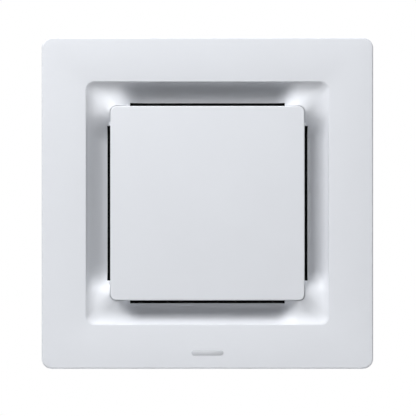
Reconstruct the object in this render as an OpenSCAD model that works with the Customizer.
// Single-room heat recovery ventilator for a wall: one coaxial duct through the wall,
// twin impellers on one shaft, a cross-flow core and a square front panel.
// X points right, Y points into the wall and Z points up. The wall's face is y = 0.
// Depths are distances from the wall's face towards the room, along -Y.

/* [Front panel] */
// Width and height of the front panel
panel_w = 290; // [284:1:300]
// Corner radius of the front panel's outline
panel_r = 9; // [7:0.5:14]
// Distance of the panel's face from the wall
panel_face = 146; // [146:0.5:148]
// Thickness of the panel's moulded skin
skin = 2.4; // [2:0.1:2.6]
// Radius of the panel's outer front edge
edge_r = 1.6; // [1:0.2:4]
// Depth of the panel's skirt
skirt = 34; // [24:1:36]
// Distance that the panel pulls forward to come off
pull = 60; // [40:5:120]

/* [Recess] */
// Width and height of the concave recess at its rim
recess_w = 212.4; // [208:0.4:216]
// Corner radius of the recess at its rim
recess_r = 7.5; // [6:0.5:9]
// Corner radius of the recess at its floor
floor_r = 6; // [5:0.5:8]
// Depth of the recess
recess_d = 17; // [16:0.5:17]

/* [Centre plate] */
// Width and height of the centre plate
plate_w = 170; // [168:0.5:170]
// Corner radius of the centre plate
plate_r = 5.2; // [4:0.2:8]
// Depth of the centre plate's rim
plate_d = 6; // [5:0.5:6.5]
// Width of the slot seen around the centre plate
slot_w = 3; // [2:0.1:3.2]
// Length of each slot
slot_len = 136; // [130:1:140]
// Slope of the recess's raised corners where they meet the plate
dish_near = 0.4; // [0.2:0.05:0.5]
// Slope of the recess's raised corners at the rim
dish_far = 0.9; // [0.8:0.05:1]
// Travel of the centre plate when it is pulled forward
plate_pull = 7; // [4:0.5:7]

/* [Casing] */
// Width and height of the casing behind the panel
casing_w = 266; // [264:1:268]
// Corner radius of the casing
casing_r = 8; // [6:1:10]
// Wall thickness of the casing
casing_t = 2.5; // [2:0.1:3]

/* [Duct] */
// Outer radius of the duct spigot
spigot_r = 48.5; // [47:0.5:49]
// Length of the spigot behind the wall's face
spigot_len = 32; // [25:1:40]
// Outer radius of the inner air tube
tube_r = 34; // [33:0.5:35]
// Length of the inner air tube behind the wall's face
tube_len = 40; // [30:1:50]

/* [Fans] */
// Outer radius of the exhaust impeller
exhaust_r = 58; // [54:1:59]
// Outer radius of the supply impeller
supply_r = 56; // [54:1:58]
// Number of blades on each impeller
blades = 24; // [16:1:30]
// Radius of the motor
motor_r = 26; // [24:0.5:27]

/* [Heat exchanger] */
// Width and height of the heat exchange core
core_w = 150; // [148:0.5:150]
// Number of air layers in the core
layers = 24; // [16:2:28]

/* [Fastening] */
// Distance between the wall screws
wall_pitch = 220; // [210:1:224]
// Radius of the wall screws' holes
wall_hole_r = 2.5; // [2.2:0.1:3]
// Radius of the cable entry
cable_r = 4; // [3:0.5:5]

/* [Hidden] */

// Facets of round parts, and steps of a lofted corner
$fn = 64;
CORNER_STEPS = 6;
COVE_STEPS = 8;

// Depths of the inner layers, from the wall outwards
plate_t = 1.2;
back_t = 2.5;
back_d = plate_t + back_t;
collector_d = 16;
supply_d = 18;
supply_top = 36;
partition_top = 37.6;
exhaust_d = 38;
exhaust_top = 58;
inlet_top = 60;
plenum_top = 70;
core_d = 72;
core_top = 117;
flange_d = 116.5;
casing_front = 121;
filter_d = 118.5;
filter_top = 124.2;
guide_top = 126.2;
guide_rib_top = 142.5;

// Recess: its floor, and the half widths of the rim and of the floor's edge
floor_d = panel_face - recess_d;
rim_half = recess_w / 2;
floor_half = plate_w / 2 + slot_w;
cove_reach = rim_half - floor_half;

// Half sizes that several parts share
plate_half = plate_w / 2;
casing_half = casing_w / 2;
core_half = core_w / 2;
housing_in = core_half + 1.5;
housing_out = housing_in + 2.5;
box_t = 2;
chamber_top = 90;
chamber_bottom = 104;
scroll_square = 82;

// Raised corners of the recess: their inner edge, their bend, and where they fade out
gusset_half = plate_half + 0.5;
dish_bend = 1.2;
raise_from = 58;
raise_over = 22;
SIDE_STOPS = [for (s = [78:-4:58]) s];

// Guide posts of the centre plate, and the ledges that carry their bushes
ledge_d = 139;
ledge_back = 136.6;
post_at = 76;
post_r = 2.4;
post_gap = 0.15;
post_back = 127;
foot_d = 141.8;
bush_r = 4.4;

// Clearance of small pins
pin_gap = 0.05;

// Scroll housings: radius at the tongue and at the mouth, and wall thickness
tongue_r = 62;
mouth_r = 76;
tongue_angle = 135;
mouth_angle = 450;
scroll_t = 2;
mouth_z = -82;

// Exhaust flap: its pin, and the frame that it closes
flap_x = -84.9;
flap_pin_x = -84.2;
flap_pin_z = -41.5;
flap_pin_r = 1;
frame_x = -84;

// Supply duct and shutter
duct_x0 = 40;
duct_x1 = 76;
duct_z0 = -112;
duct_z1 = -82;
shutter_d = 20.8;
shutter_z = -87;
shutter_r = 1.5;

// Control box: its low and high corners
control_x0 = -70;
control_x1 = 40;
control_z0 = 86;
control_z1 = 126;
control_d0 = 20;
control_d1 = 58;

// Cable entry
entry_x = 90;
entry_z = 100;
entry_r = 8;

// Step of the duct collars inside the casing
collar = 0.5;

// Screws
casing_screw = 124;
mount_x = 75;
mount_z = 118;
bracket_screw_r = 52;

// ---- shared shapes ----

// Extrudes an outline drawn in X and Z between two depths from the wall
module slab(d0, d1) {
    translate([0, -d0, 0]) rotate([90, 0, 0]) linear_extrude(d1 - d0) children();
}

// Box given by its ranges in X, depth and Z
module block(x0, x1, d0, d1, z0, z1) {
    translate([x0, -d1, z0]) cube([x1 - x0, d1 - d0, z1 - z0]);
}

// Rounded square outline with true arcs
module rounded(half, r) {
    square([2 * half - 2 * r, 2 * half], center = true);
    square([2 * half, 2 * half - 2 * r], center = true);
    corners(half - r) circle(r);
}

// Square frame outline
module square_ring(outer, inner) {
    difference() {
        square(2 * outer, center = true);
        square(2 * inner, center = true);
    }
}

// Round frame outline
module ring(outer, inner) {
    difference() {
        circle(outer);
        circle(inner);
    }
}

// Four copies at the corners of a square
module corners(half) {
    for (sx = [-1, 1], sz = [-1, 1]) translate([sx * half, sz * half]) children();
}

// A copy at each side of the centre line
module both_sides() {
    children();
    mirror([1, 0, 0]) children();
}

// Round bar along X
module bar_x(x0, x1, d, z, r) {
    translate([x0, -d, z]) rotate([0, 90, 0]) cylinder(h = x1 - x0, r = r);
}

// Screw along Y with a round head towards the room
module screw(x, z, d0, d1, r, head_r, head_h) {
    translate([x, 0, z]) {
        slab(d0, d1) circle(r);
        slab(d1, d1 + head_h) difference() {
            circle(head_r);
            circle(head_r * 0.45, $fn = 6);
        }
    }
}

// Points of a rounded square at one depth, counter-clockwise from the front
function corner_sign(q) = [[1, 1], [-1, 1], [-1, -1], [1, -1]][q];
function loft_ring(half, r, d) = [
    for (q = [0:3], i = [0:CORNER_STEPS])
        let (a = 90 * (q + i / CORNER_STEPS))
        [(half - r) * corner_sign(q)[0] + r * cos(a), -d, (half - r) * corner_sign(q)[1] + r * sin(a)]];

// Closed solid through rings of points, capped at both ends or joined up into a loop
module loft_through(rings, closed) {
    n = len(rings[0]);
    total = len(rings) * n;
    sides = [for (k = [0:len(rings) - (closed ? 1 : 2)], i = [0:n - 1])
        let (a = k * n + i, b = k * n + (i + 1) % n, c = (a + n) % total, d = (b + n) % total)
        each [[a, b, d], [a, d, c]]];
    caps = closed ? [] : [[for (i = [n - 1:-1:0]) i], [for (i = [0:n - 1]) total - n + i]];
    polyhedron(points = [for (r = rings) each r], faces = concat(caps, sides), convexity = 6);
}

// Closed solid through a list of [half width, corner radius, depth]
module loft(profile) {
    loft_through([for (p = profile) loft_ring(p[0], p[1], p[2])], false);
}

// Smooth route through points, and a round tube swept along it
function between(p0, p1, p2, p3, t) =
    0.5 * (2 * p1 + (p2 - p0) * t + (2 * p0 - 5 * p1 + 4 * p2 - p3) * t * t
    + (3 * p1 - p0 - 3 * p2 + p3) * t * t * t);
function at(p, i) = p[max(0, min(len(p) - 1, i))];
function smooth(p, n) = [
    for (i = [0:len(p) - 2], j = [0:n - 1]) between(at(p, i - 1), p[i], p[i + 1], at(p, i + 2), j / n),
    p[len(p) - 1]];
function unit(v) = v / norm(v);

module tube_along(route, r, sides) {
    p = smooth(route, 4);
    m = len(p);
    points = [for (i = [0:m - 1])
        let (t = unit(at(p, i + 1) - at(p, i - 1)), u = unit(cross(t, [0.43, 0.61, 0.67])), v = cross(t, u))
        for (j = [0:sides - 1]) p[i] + r * (cos(360 * j / sides) * u + sin(360 * j / sides) * v)];
    walls = [for (i = [0:m - 2], j = [0:sides - 1])
        let (a = i * sides + j, b = i * sides + (j + 1) % sides)
        each [[a, b + sides, b], [a, a + sides, b + sides]]];
    caps = [[for (j = [0:sides - 1]) j], [for (j = [sides - 1:-1:0]) (m - 1) * sides + j]];
    polyhedron(points = points, faces = concat(caps, walls), convexity = 4);
}

// Spiral outline of a fan housing seen from the front, its mouth at the lower right
function spiral_r(a) = tongue_r + (mouth_r - tongue_r) * (a - tongue_angle) / (mouth_angle - tongue_angle);
module spiral(grow, mouth) {
    tongue_x = tongue_r * sin(tongue_angle) - grow;
    start = 180 - asin(tongue_x / (tongue_r + grow));
    turn = [for (a = [start, each [tongue_angle + 9:9:mouth_angle]])
        let (r = spiral_r(a) + grow) [r * sin(a), r * cos(a)]];
    polygon(concat(turn, [[mouth_r + grow, mouth], [tongue_x, mouth]]));
}

module spiral_wall() {
    difference() {
        spiral(scroll_t, mouth_z);
        spiral(0, mouth_z - 1);
    }
}

// ---- front cover: the panel and what is fixed to it ----

// Depth below the face of a raised corner: u is 0 at the plate's edge and 1 at the rim
function dish_run(u) =
    -dish_near * u + (dish_near + dish_far - dish_bend) * u * u / 2 + dish_bend * u * u * u / 3;
function dish(half) =
    let (reach = rim_half - gusset_half, u = min(1, (half - gusset_half) / reach))
    reach * (dish_run(1) - dish_run(u));

// Share of the raised corner in the recess's shape: none beside the slots' middles
function ease(t) = let (c = max(0, min(1, t))) c * c * (3 - 2 * c);
function corner_share(x, z) = ease((min(abs(x), abs(z)) - raise_from) / raise_over);

// Ring of the panel: a rounded square with stops along its sides, whose depth differs at the corners
function quarter_turn(p, q) = q == 0 ? p : quarter_turn([-p[1], p[0]], q - 1);
function panel_quarter(half, r) = concat(
    [for (i = [0:CORNER_STEPS])
        let (a = 90 * i / CORNER_STEPS)
        [half - r + r * cos(a), half - r + r * sin(a)]],
    [for (s = SIDE_STOPS) [s, half]],
    [for (i = [len(SIDE_STOPS) - 1:-1:0]) [-SIDE_STOPS[i], half]]);
function panel_ring(half, r, side_d, corner_d) = [
    for (q = [0:3], p = panel_quarter(half, r))
        let (at = quarter_turn(p, q))
        [at[0], -(side_d + (corner_d - side_d) * corner_share(at[0], at[1])), at[1]]];
function flat_ring(half, r, d) = panel_ring(half, r, d, d);

// Ring of the cove: 0 at the rim and 90 at the floor, grown outwards by t
function cove(a, t) =
    let (half = floor_half + (cove_reach + t) * cos(a))
    panel_ring(half, recess_r + (floor_r - recess_r) * (1 - cos(a)) + t / 2,
        panel_face - (recess_d + t) * sin(a), panel_face - t - dish(half));
function cove_end(t) = panel_ring(gusset_half, plate_r + 0.5,
    floor_d - t, panel_face - t - dish(gusset_half));
function rounding(a) = flat_ring(
    panel_w / 2 - edge_r * (1 - sin(a)),
    panel_r - edge_r * (1 - sin(a)) * 0.6,
    panel_face - edge_r * (1 - cos(a)));

module panel_shell() {
    skirt_in = panel_w / 2 - skin;
    back_angle = asin(skin / (recess_d + skin));
    loft_through(concat(
        [cove_end(0)],
        [for (i = [COVE_STEPS:-1:0]) cove(90 * i / COVE_STEPS, 0)],
        [for (i = [0:4]) rounding(22.5 * i)],
        [flat_ring(panel_w / 2, panel_r, panel_face - skirt)],
        [flat_ring(skirt_in, panel_r - skin, panel_face - skirt)],
        [flat_ring(skirt_in, panel_r - skin, panel_face - skin)],
        [for (i = [0:COVE_STEPS]) cove(back_angle + (90 - back_angle) * i / COVE_STEPS, skin)],
        [cove_end(skin)]), true);
}

// The recess is cut away for air along the plate's four sides
module air_cross(d0, d1) {
    reach = floor_half + 0.15;
    slab(d0, d1) {
        square([slot_len, 2 * reach], center = true);
        square([2 * reach, slot_len], center = true);
    }
}

// Ledges under the plate's corners for the bushes of its posts
module corner_ledges() {
    slab(ledge_back, ledge_d) difference() {
        intersection() {
            rounded(gusset_half + 1, plate_r + 1.5);
            corners(79) square(21, center = true);
        }
        corners(post_at) circle(bush_r + pin_gap);
    }
    slab(ledge_back, ledge_d + 4.4) intersection() {
        difference() {
            rounded(gusset_half + 2, plate_r + 2.5);
            rounded(gusset_half + 0.4, plate_r + 0.9);
        }
        corners(86) square(15, center = true);
    }
}

module clip_boss() {
    block(-10, 10, panel_face - 8, panel_face - skin + 0.4, 136.5, 139);
}

module front_panel() {
    color("whitesmoke") {
        difference() {
            panel_shell();
            air_cross(floor_d - skin - 2, panel_face - 1);
        }
        corner_ledges();
        for (side = [0, 180]) rotate([0, side, 0]) for (x = [-80, 80]) translate([x, 0, 0]) clip_boss();
    }
}

// Plain raised bar under the recess
module badge_plate() {
    bar_w = 28;
    bar_h = 4.6;
    bar_z = -130.7;
    color("gainsboro") translate([0, 0, bar_z]) slab(panel_face, panel_face + 0.35) {
        square([bar_w - bar_h, bar_h], center = true);
        for (s = [-1, 1]) translate([s * (bar_w - bar_h) / 2, 0]) circle(bar_h / 2);
    }
}

// Spring clips that grip the casing's top and bottom edges
module panel_clips() {
    color("silver") for (side = [0, 180]) rotate([0, side, 0]) for (x = [-80, 80]) translate([x, 0, 0]) {
        block(-7, 7, panel_face - skirt, panel_face - 3, 135.3, 136.5);
        translate([-6, -(panel_face - skirt + 4), 135.3]) rotate([0, 90, 0]) cylinder(r = 1.6, h = 12);
    }
}

// Flanged bushes that the plate's posts slide in
module post_bushes() {
    color("gainsboro") {
        slab(ledge_back - 0.4, ledge_d) corners(post_at) ring(bush_r, post_r + post_gap);
        slab(ledge_d, ledge_d + 0.6) corners(post_at) ring(bush_r + 1.2, post_r + post_gap);
    }
}

// ---- centre plate ----

module centre_plate() {
    soft = 1;
    wall = 2;
    back = panel_face - plate_d;
    in_half = plate_half - wall;
    in_r = plate_r - wall;
    color("whitesmoke") loft(concat(
        [for (a = [0:30:90])
            [plate_half - soft * (1 - sin(a)), plate_r - soft * (1 - sin(a)), panel_face - soft * (1 - cos(a))]],
        [[plate_half, plate_r, back]],
        [[in_half, in_r, back]],
        [[in_half, in_r, panel_face - wall]]));
}

// Four posts on the plate's back, each with a foot
module plate_posts() {
    color("gainsboro") {
        slab(post_back, foot_d) corners(post_at) circle(post_r);
        slab(foot_d, panel_face - 2) corners(post_at) circle(post_r + 1.6);
    }
}

// Rings near the posts' ends that stop the plate when it is pulled forward
module post_clips() {
    front = ledge_back - 0.4 - plate_pull - 0.6;
    color("silver") slab(front - 1, front) corners(post_at) ring(post_r + 1.4, post_r);
}

// Soft rings that stop the plate on the bushes when it is pushed home
module plate_buffers() {
    color("dimgray") slab(ledge_d + 0.7, foot_d) corners(post_at) ring(post_r + 1.5, post_r);
}

// ---- wall side ----

module wall_holes(d0, d1, r) {
    slab(d0, d1) corners(wall_pitch / 2) circle(r);
}

module at_mount_screws() {
    for (sx = [-1, 1], sz = [-1, 1]) translate([sx * mount_x, 0, sz * mount_z]) children();
}

module mounting_plate() {
    color("silver") difference() {
        slab(0, plate_t) rounded(casing_half - 8, 6);
        slab(-1, plate_t + 1) circle(60);
        wall_holes(-1, plate_t + 1, wall_hole_r);
        slab(-1, plate_t + 1) translate([entry_x, entry_z]) circle(entry_r + 2);
        at_mount_screws() slab(-1, plate_t + 1) circle(1.6);
    }
}

module wall_gasket() {
    color("dimgray") slab(0, plate_t) ring(59.6, spigot_r + collar + 0.3);
}

module mounting_screws() {
    color("silver") at_mount_screws() screw(0, 0, 0, back_d, 1.6, 3.5, 2);
}

module rear_casing() {
    inner = casing_half - casing_t;
    color("lightgray") difference() {
        union() {
            slab(plate_t, back_d) rounded(casing_half, casing_r);
            slab(back_d, inlet_top) difference() {
                rounded(casing_half, casing_r);
                rounded(inner, casing_r - casing_t);
            }
            slab(inlet_top - 14, inlet_top) intersection() {
                rounded(inner + 0.5, casing_r - casing_t);
                union() {
                    corners(casing_screw) circle(4.5);
                    corners(casing_screw + 4) square(8, center = true);
                }
            }
        }
        slab(0, back_d + 1) circle(spigot_r + collar + 0.3);
        wall_holes(0, back_d + 1, 6);
        slab(0, back_d + 1) translate([entry_x, entry_z]) circle(entry_r);
        at_mount_screws() slab(0, back_d + 1) circle(1.9);
        slab(inlet_top - 15, inlet_top + 1) corners(casing_screw) circle(1.6);
    }
}

module duct_spigot() {
    color("gray") {
        slab(-spigot_len, 0) ring(spigot_r, spigot_r - 2);
        slab(0, back_d) ring(spigot_r + collar, spigot_r - 2);
        slab(back_d, back_d + 2) ring(spigot_r + 8, spigot_r - 2);
    }
}

module inner_duct() {
    color("darkgray") {
        slab(-tube_len, 0) ring(tube_r, tube_r - 1.5);
        slab(0, supply_d) ring(tube_r + collar, tube_r - 1.5);
        slab(supply_d - 2.8, supply_d - 2) ring(tube_r + 5, tube_r);
    }
}

// Flat box that turns the exhaust air round the inner duct and out through the spigot
module exhaust_collector() {
    left = -119;
    right = 62;
    half = 62;
    low = -82;
    color("lightgray") difference() {
        block(left, right, back_d, collector_d - 0.8, low, half);
        block(left + box_t, right - box_t, back_d - 1, collector_d - 2.8, low + box_t, half - box_t);
        slab(0, collector_d + 1) circle(tube_r + collar + 0.3);
        block(left + box_t, frame_x - 0.1, 5, collector_d + 1, low + box_t, -40);
    }
}

// Side duct from the exhaust flap back to the collector
module exhaust_duct() {
    color("lightgray") difference() {
        block(-119, -81, collector_d - 0.8, inlet_top, -82, -36);
        block(-117, frame_x - 0.1, collector_d - 2, exhaust_top, -80, -38);
        block(frame_x - 1, -80, partition_top, exhaust_top, -81, -37);
        block(-scroll_square, -80, exhaust_top, inlet_top + 1, -83, -35);
    }
}

// ---- fan housings ----

module supply_scroll() {
    color("lightgray") {
        slab(supply_d, supply_top) spiral_wall();
        slab(supply_d - 2, supply_d) difference() {
            spiral(scroll_t, mouth_z);
            circle(tube_r + collar + 0.3);
        }
    }
}

module partition_plate() {
    color("silver") slab(supply_top, partition_top) difference() {
        rounded(80, 6);
        circle(4.6);
    }
}

module exhaust_scroll() {
    color("lightgray") slab(partition_top, exhaust_top) rotate(-90) spiral_wall();
}

module flap_frame() {
    color("gray") difference() {
        union() {
            block(frame_x, -82, exhaust_d, exhaust_top, -80, -38);
            for (d = [exhaust_d, exhaust_top - 1.5]) block(frame_x - 3, frame_x, d, d + 1.5, -44, -38);
        }
        block(frame_x - 1, -81, exhaust_d + 3, exhaust_top - 3, -76, -46);
        block(frame_x - 1, -81, exhaust_d + 1.7, exhaust_top - 1.7, -44.3, -37);
        translate([flap_pin_x, 0, flap_pin_z]) slab(exhaust_d - 1, exhaust_top + 1)
            circle(flap_pin_r + pin_gap);
    }
}

// Plate with the bell mouth of the exhaust fan and the walls of the return chamber
module inlet_plate() {
    mouth = 39;
    color("lightgray") difference() {
        union() {
            slab(exhaust_top, inlet_top) square(2 * scroll_square, center = true);
            slab(inlet_top, plenum_top) square_ring(core_half + 2, core_half);
            slab(inlet_top, inlet_top + 2.5) circle(mouth + 3);
        }
        slab(exhaust_top - 1, inlet_top + 3) circle(mouth);
        for (a = [90:120:330]) rotate([0, a, 0]) translate([bracket_screw_r, 0, 0])
            slab(exhaust_top - 1, inlet_top + 1) circle(1.5);
        block(-3, 3, inlet_top + 3, plenum_top - 2, core_half - 1, core_half + 3);
    }
}

// ---- motor ----

module motor_bracket() {
    color("silver") difference() {
        union() {
            slab(inlet_top + 2.5, inlet_top + 6) ring(motor_r + 4, motor_r);
            for (a = [90:120:330]) rotate([0, a, 0]) {
                block(motor_r + 1, bracket_screw_r + 5, inlet_top + 2.5, inlet_top + 4.5, -5, 5);
                block(bracket_screw_r - 4, bracket_screw_r + 5, inlet_top, inlet_top + 2.5, -5, 5);
            }
        }
        for (a = [90:120:330]) rotate([0, a, 0]) translate([bracket_screw_r, 0, 0])
            slab(inlet_top - 1, inlet_top + 5) circle(1.8);
    }
}

module motor_screws() {
    color("dimgray") for (a = [90:120:330]) rotate([0, a, 0])
        screw(bracket_screw_r, 0, exhaust_top, inlet_top + 4.5, 1.5, 3, 1.8);
}

can_back = 44;
can_front = 65.5;
bearing_r = 5.5;
shaft_r = 3;

module motor_can() {
    color("dimgray") {
        slab(can_back + 1.5, can_front) ring(motor_r, motor_r - 1.5);
        slab(can_back, can_back + 1.5) ring(motor_r, bearing_r);
        slab(can_back + 1.5, can_back + 5) ring(bearing_r + 2, bearing_r);
    }
}

module motor_cap() {
    color("gray") {
        slab(can_front, can_front + 1.5) difference() {
            circle(motor_r);
            translate([0, 20]) circle(2.2);
        }
        slab(can_front - 4.5, can_front) ring(bearing_r + 2, bearing_r);
    }
}

module motor_bearings() {
    color("silver") {
        slab(can_back + 0.5, can_back + 4.5) ring(bearing_r, shaft_r + pin_gap);
        slab(can_front - 4.5, can_front - 0.5) ring(bearing_r, shaft_r + pin_gap);
    }
}

module stator_core() {
    slots = 12;
    color("slategray") slab(51, 61) difference() {
        circle(motor_r - 1.5);
        circle(15);
        for (i = [0:slots - 1]) rotate(360 / slots * i) translate([16.6, -1.4]) square([5, 2.8]);
    }
}

module motor_windings() {
    color("peru") for (d = [48.6, 61]) slab(d, d + 2.4) difference() {
        circle(22.5);
        circle(16);
    }
}

// ---- rotor ----

module motor_shaft() {
    color("silver") slab(supply_d + 2, can_front - 1) circle(shaft_r);
}

module rotor_magnet() {
    color("darkslategray") slab(51.3, 60.7) ring(14.4, shaft_r);
}

// Impeller seen from the front: hub plate at hub_d, blades and shroud on its open side
module impeller(outer, hub_d, height, open_side) {
    disc = 1.5;
    blade_len = 17;
    low = open_side > 0 ? hub_d + disc : hub_d - height;
    slab(hub_d, hub_d + disc) ring(outer, shaft_r);
    slab(low, low + height) for (i = [0:blades - 1])
        rotate(-360 / blades * i) translate([outer - blade_len - 0.6, 0]) rotate(-20) square([blade_len, 1.2]);
    slab(open_side > 0 ? low + height : low - 1.2, open_side > 0 ? low + height + 1.2 : low)
        ring(outer, outer - 8);
}

module exhaust_impeller() {
    color("darkgray") {
        impeller(exhaust_r, 39.5, 14.8, 1);
        slab(41, 43.6) ring(8, shaft_r);
    }
}

module supply_impeller() {
    color("darkgray") {
        impeller(supply_r, 33.4, 12, -1);
        slab(29.4, 33.4) ring(8, shaft_r);
    }
}

module impeller_clips() {
    color("dimgray") {
        slab(28.4, 29.4) ring(5.4, shaft_r);
        slab(38.5, 39.5) ring(5.4, shaft_r);
    }
}

// ---- exhaust flap and supply shutter ----

module exhaust_flap() {
    color("dimgray") difference() {
        union() {
            block(flap_x - 0.6, flap_x + 0.6, exhaust_d + 2, exhaust_top - 2, -78, flap_pin_z);
            translate([flap_pin_x, 0, flap_pin_z]) slab(exhaust_d + 2, exhaust_top - 2) circle(flap_pin_r + 1);
        }
        translate([flap_pin_x, 0, flap_pin_z]) slab(exhaust_d, exhaust_top) circle(flap_pin_r);
    }
}

module flap_pin() {
    color("silver") translate([flap_pin_x, 0, flap_pin_z]) slab(exhaust_d, exhaust_top) circle(flap_pin_r);
}

module supply_duct() {
    wall = 2;
    color("lightgray") difference() {
        block(duct_x0, duct_x1, supply_d - 2, plenum_top, duct_z0, duct_z1);
        block(duct_x0 + wall, duct_x1 - wall, supply_d, plenum_top + 1, duct_z0 + wall, duct_z1 - wall);
        block(duct_x0 + wall, duct_x1 - wall, supply_d, supply_top, duct_z1 - wall - 1, duct_z1 + 1);
        bar_x(duct_x0 - 1, duct_x1 + 1, shutter_d, shutter_z, shutter_r + pin_gap);
    }
}

module shutter_flap() {
    color("dimgray") difference() {
        union() {
            block(duct_x0 + 2.4, duct_x1 - 2.4, shutter_d, supply_top - 0.4, shutter_z - 0.6, shutter_z + 0.6);
            bar_x(duct_x0 + 2.4, duct_x1 - 2.4, shutter_d, shutter_z, shutter_r + 1);
        }
        bar_x(duct_x0, duct_x1, shutter_d, shutter_z, shutter_r);
    }
}

module shutter_shaft() {
    color("silver") bar_x(duct_x0, duct_x1 + 3, shutter_d, shutter_z, shutter_r);
}

module shutter_motor() {
    x0 = duct_x1 + 3.4;
    color("darkkhaki") {
        bar_x(x0, x0 + 16, shutter_d, shutter_z - 4, 12);
        block(x0 + 2, x0 + 10, shutter_d - 5, shutter_d + 5, shutter_z + 7, shutter_z + 12);
        for (z = [shutter_z - 20, shutter_z + 12]) difference() {
            block(x0, x0 + 1.5, shutter_d - 4, shutter_d + 4, min(z, shutter_z), max(z, shutter_z));
            bar_x(x0 - 1, x0 + 3, shutter_d, z + (z < shutter_z ? 3 : -3), 1.6);
        }
    }
}

lead_r = 1.8;

// Lead from the shutter's gear motor to the control box
module shutter_lead() {
    x0 = duct_x1 + 9.4;
    color("dimgray") tube_along([
        [x0, -shutter_d, shutter_z + 12],
        [x0, -shutter_d, shutter_z + 15],
        [x0, -shutter_d, shutter_z + 18],
        [x0 + 3, -shutter_d, shutter_z + 27],
        [x0 + 14, -24, shutter_z + 45],
        [x0 + 20, -28, -10],
        [x0 + 20, -30, 40],
        [x0 + 16, -34, 78],
        [x0 - 8, -38, 95],
        [60, -38, 98],
        [control_x1 - 5, -38, 98]], lead_r, 8);
}

// ---- heat exchanger ----

module core_housing() {
    wall = housing_out - housing_in;
    color("lightgray") difference() {
        union() {
            block(-housing_out, housing_out, plenum_top, filter_d, -chamber_bottom - wall, chamber_top + wall);
            block(-housing_out - 8, housing_out + 8, flange_d, filter_d, -chamber_bottom - wall - 6, chamber_top + wall + 6);
        }
        block(-housing_in, housing_in, core_d, flange_d, -chamber_bottom, chamber_top);
        slab(flange_d - 1, filter_d + 1) square(2 * core_half + 1, center = true);
        block(-66, 66, flange_d - 1, filter_d + 1, core_half - 1, chamber_top - 2);
        slab(plenum_top - 1, core_d + 1) square(2 * core_half - 6, center = true);
        block(duct_x0 + 2, duct_x1 - 2, plenum_top - 1, core_d + 1, -chamber_bottom + 2, duct_z1 - 2);
    }
}

// Layers alternate: one lets the room's air through along Y, the next the fresh air along Z
module core_block() {
    pitch = (core_w - 4) / layers;
    web = 1.4;
    rim = 4;
    color("lightsteelblue") difference() {
        block(-core_half + 2, core_half - 2, core_d, core_top, -core_half, core_half);
        for (i = [0:layers - 1]) {
            x0 = -core_half + 2 + pitch * i + web / 2;
            x1 = x0 + pitch - web;
            if (i % 2 == 0) block(x0, x1, core_d - 1, core_top + 1, -core_half + rim, core_half - rim);
            else block(x0, x1, core_d + rim, core_top - rim, -core_half - 1, core_half + 1);
        }
    }
}

module core_end_caps() {
    color("steelblue") both_sides()
        block(core_half - 2, core_half, core_d, core_top, -core_half, core_half);
}

// Strips that keep the two air streams apart along the core's edges
module core_seals() {
    strip = 5;
    color("dimgray") for (z = [core_half, -core_half - 1.5], d = [core_d, flange_d - strip])
        block(-housing_in, housing_in, d, d + strip, z, z + 1.5);
}

// ---- filter and air guide ----

module filter_frame() {
    outer = core_half + 2;
    color("gray") {
        slab(filter_d, filter_top) square_ring(outer, outer - 5);
        for (p = [-24.5, 24.5]) {
            block(p - 1, p + 1, filter_top - 2, filter_top, -outer + 5, outer - 5);
            block(-outer + 5, outer - 5, filter_top - 2, filter_top, p - 1, p + 1);
        }
    }
}

module filter_mesh() {
    outer = core_half - 3;
    color("darkgray") slab(filter_d + 0.5, filter_d + 3) square(2 * outer, center = true);
}

module air_guide() {
    outer = plate_half + 4;
    rib_z = core_half + 2;
    color("dimgray") difference() {
        union() {
            slab(filter_top, guide_top) square(2 * outer, center = true);
            slab(casing_front, filter_top) square_ring(outer, outer - 1.5);
            block(-slot_len / 2 + 0.6, slot_len / 2 - 0.6, guide_top, guide_rib_top, rib_z, rib_z + 1.5);
        }
        slab(filter_d, guide_top + 1) square(2 * (core_half - 4), center = true);
        block(-66, 66, filter_d, guide_top + 1, rib_z + 1.5, outer - 2);
    }
}

// ---- casing and insulation ----

module front_casing() {
    inner = casing_half - casing_t;
    opening = core_half + 7;
    lug = casing_screw - 6;
    color("lightgray") difference() {
        union() {
            slab(inlet_top, casing_front) difference() {
                rounded(casing_half, casing_r);
                rounded(inner, casing_r - casing_t);
            }
            slab(filter_d, casing_front) rounded(casing_half, casing_r);
            slab(inlet_top, inlet_top + 2.5) intersection() {
                rounded(inner + 0.5, casing_r - casing_t);
                corners(lug + 7) square(14, center = true);
            }
        }
        slab(filter_d - 1, casing_front + 1) square(2 * opening, center = true);
        block(-66, 66, filter_d - 1, casing_front + 1, opening - 1, chamber_top - 2);
        slab(inlet_top - 1, inlet_top + 4) corners(casing_screw) circle(2);
    }
}

module casing_screws() {
    color("dimgray") for (sx = [-1, 1], sz = [-1, 1])
        screw(sx * casing_screw, sz * casing_screw, inlet_top - 12, inlet_top + 2.5, 1.6, 3.4, 2);
}

module side_foam() {
    edge = casing_half - casing_t - 0.5;
    difference() {
        block(housing_out, edge, core_d, flange_d - 0.5, -edge, edge);
        for (z = [-70, 0, 70]) block(housing_out + 14, edge - 12, core_d - 1, core_d + 16, z - 24, z + 24);
        slab(core_d - 1, flange_d) corners(casing_half) circle(9);
    }
}

module insulation_left() {
    color("white") mirror([1, 0, 0]) side_foam();
}

module insulation_right() {
    color("white") side_foam();
}

module insulation_top() {
    edge = casing_half - casing_t - 0.5;
    color("white") {
        block(-housing_out, housing_out, core_d, flange_d - 0.5, chamber_top + 2.5, edge);
        block(-housing_out, housing_out, core_d, flange_d - 0.5, -edge, -chamber_bottom - 2.5);
    }
}

// ---- electrics ----

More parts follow.
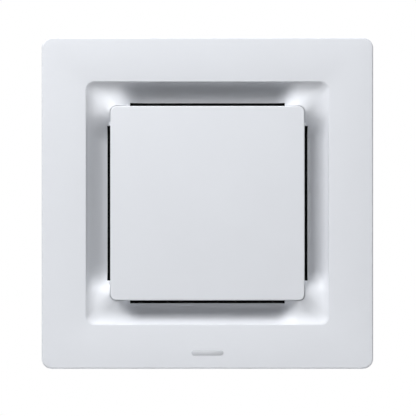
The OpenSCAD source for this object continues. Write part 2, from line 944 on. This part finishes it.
module control_box() {
    color("whitesmoke") difference() {
        block(control_x0, control_x1, control_d0, control_d1, control_z0, control_z1);
        block(control_x0 + 2, control_x1 - 2, control_d0 + 2, control_d1 + 1, control_z0 + 2, control_z1 - 2);
        block(-3, 3, 46, 54, control_z0 - 1, control_z0 + 3);
        block(control_x1 - 3, control_x1 + 1, 34, 42, 94, 102);
    }
}

module control_cover() {
    color("gainsboro") difference() {
        block(control_x0, control_x1, control_d1, control_d1 + 1.8, control_z0, control_z1);
        for (x = [control_x0 + 8:5:control_x0 + 34])
            block(x, x + 2, control_d1 - 1, control_d1 + 3, control_z0 + 10, control_z1 - 10);
    }
}

module circuit_board() {
    board = control_d0 + 6;
    color("seagreen") block(control_x0 + 6, control_x1 - 8, board, board + 1.6, control_z0 + 5, control_z1 - 5);
    color("black") {
        for (x = [-52, -34, -8]) block(x, x + 12, board + 1.6, board + 9, 96, 112);
        block(12, 26, board + 1.6, board + 4, 100, 108);
    }
    color("white") for (x = [-50:16:14]) block(x, x + 8, board + 1.6, board + 7, 92, 94.5);
    color("gray") for (x = [control_x0 + 9, control_x1 - 11], z = [control_z0 + 8, control_z1 - 8])
        translate([x, 0, z]) slab(control_d0 + 2, board) circle(2);
}

module capacitor() {
    color("royalblue") for (x = [-60, 2]) translate([x, 0, 117]) slab(control_d0 + 7.6, control_d0 + 26) circle(4);
}

module terminal_block() {
    color("ivory") difference() {
        block(54, 78, back_d, back_d + 12, 92, 112);
        for (x = [57.5:6:76]) {
            translate([x, 0, 97]) slab(back_d + 3, back_d + 13) circle(1.8);
            translate([x, 0, 107]) slab(back_d + 3, back_d + 13) circle(1.8);
        }
        block(53, 79, back_d + 9, back_d + 13, 101, 103);
    }
}

module cable_clamp() {
    color("gainsboro") difference() {
        block(entry_x - 12, entry_x + 12, back_d, back_d + 9, 80, 88);
        translate([entry_x, -back_d - 3.5, 79]) cylinder(r = cable_r, h = 10);
        for (x = [-8.5, 8.5]) translate([entry_x + x, 0, 84]) slab(back_d - 1, back_d + 10) circle(1.5);
    }
}

module grommet() {
    flange_t = 1.6;
    color("dimgray") translate([entry_x, 0, entry_z]) {
        slab(plate_t, back_d) ring(entry_r, cable_r);
        slab(plate_t - 0.6, plate_t) ring(entry_r + 1.5, cable_r);
        slab(back_d, back_d + flange_t) ring(entry_r + 2, cable_r);
    }
}

// Lead from the motor's cap, out of the return chamber and up to the control box
module motor_lead() {
    color("dimgray") tube_along([
        [0, -(can_front - 1.2), 20],
        [0, -(can_front + 1.3), 20],
        [0, -(can_front + 3.2), 21.6],
        [0, -(can_front + 3.5), 25],
        [0, -(can_front + 3), 34],
        [0, -66.5, 50],
        [0, -65.6, 64],
        [0, -65.6, 76],
        [0, -64.5, 81.5],
        [0, -61, 84],
        [0, -55, 84.2],
        [0, -51, 85],
        [0, -50, 88],
        [0, -50, 92]], 1.4, 8);
}

// ---- what is drawn ----

front_panel();
badge_plate();
panel_clips();
post_bushes();
centre_plate();
plate_posts();
post_clips();
plate_buffers();
mounting_plate();
wall_gasket();
mounting_screws();
rear_casing();
duct_spigot();
inner_duct();
exhaust_collector();
exhaust_duct();
supply_scroll();
partition_plate();
exhaust_scroll();
flap_frame();
inlet_plate();
motor_bracket();
motor_screws();
motor_can();
motor_cap();
motor_bearings();
stator_core();
motor_windings();
supply_duct();
shutter_motor();
shutter_lead();
core_housing();
core_block();
core_end_caps();
core_seals();
filter_frame();
filter_mesh();
air_guide();
front_casing();
casing_screws();
insulation_left();
insulation_right();
insulation_top();
control_box();
control_cover();
circuit_board();
capacitor();
terminal_block();
cable_clamp();
grommet();
motor_lead();
motor_shaft();
rotor_magnet();
exhaust_impeller();
supply_impeller();
impeller_clips();
exhaust_flap();
flap_pin();
shutter_flap();
shutter_shaft();
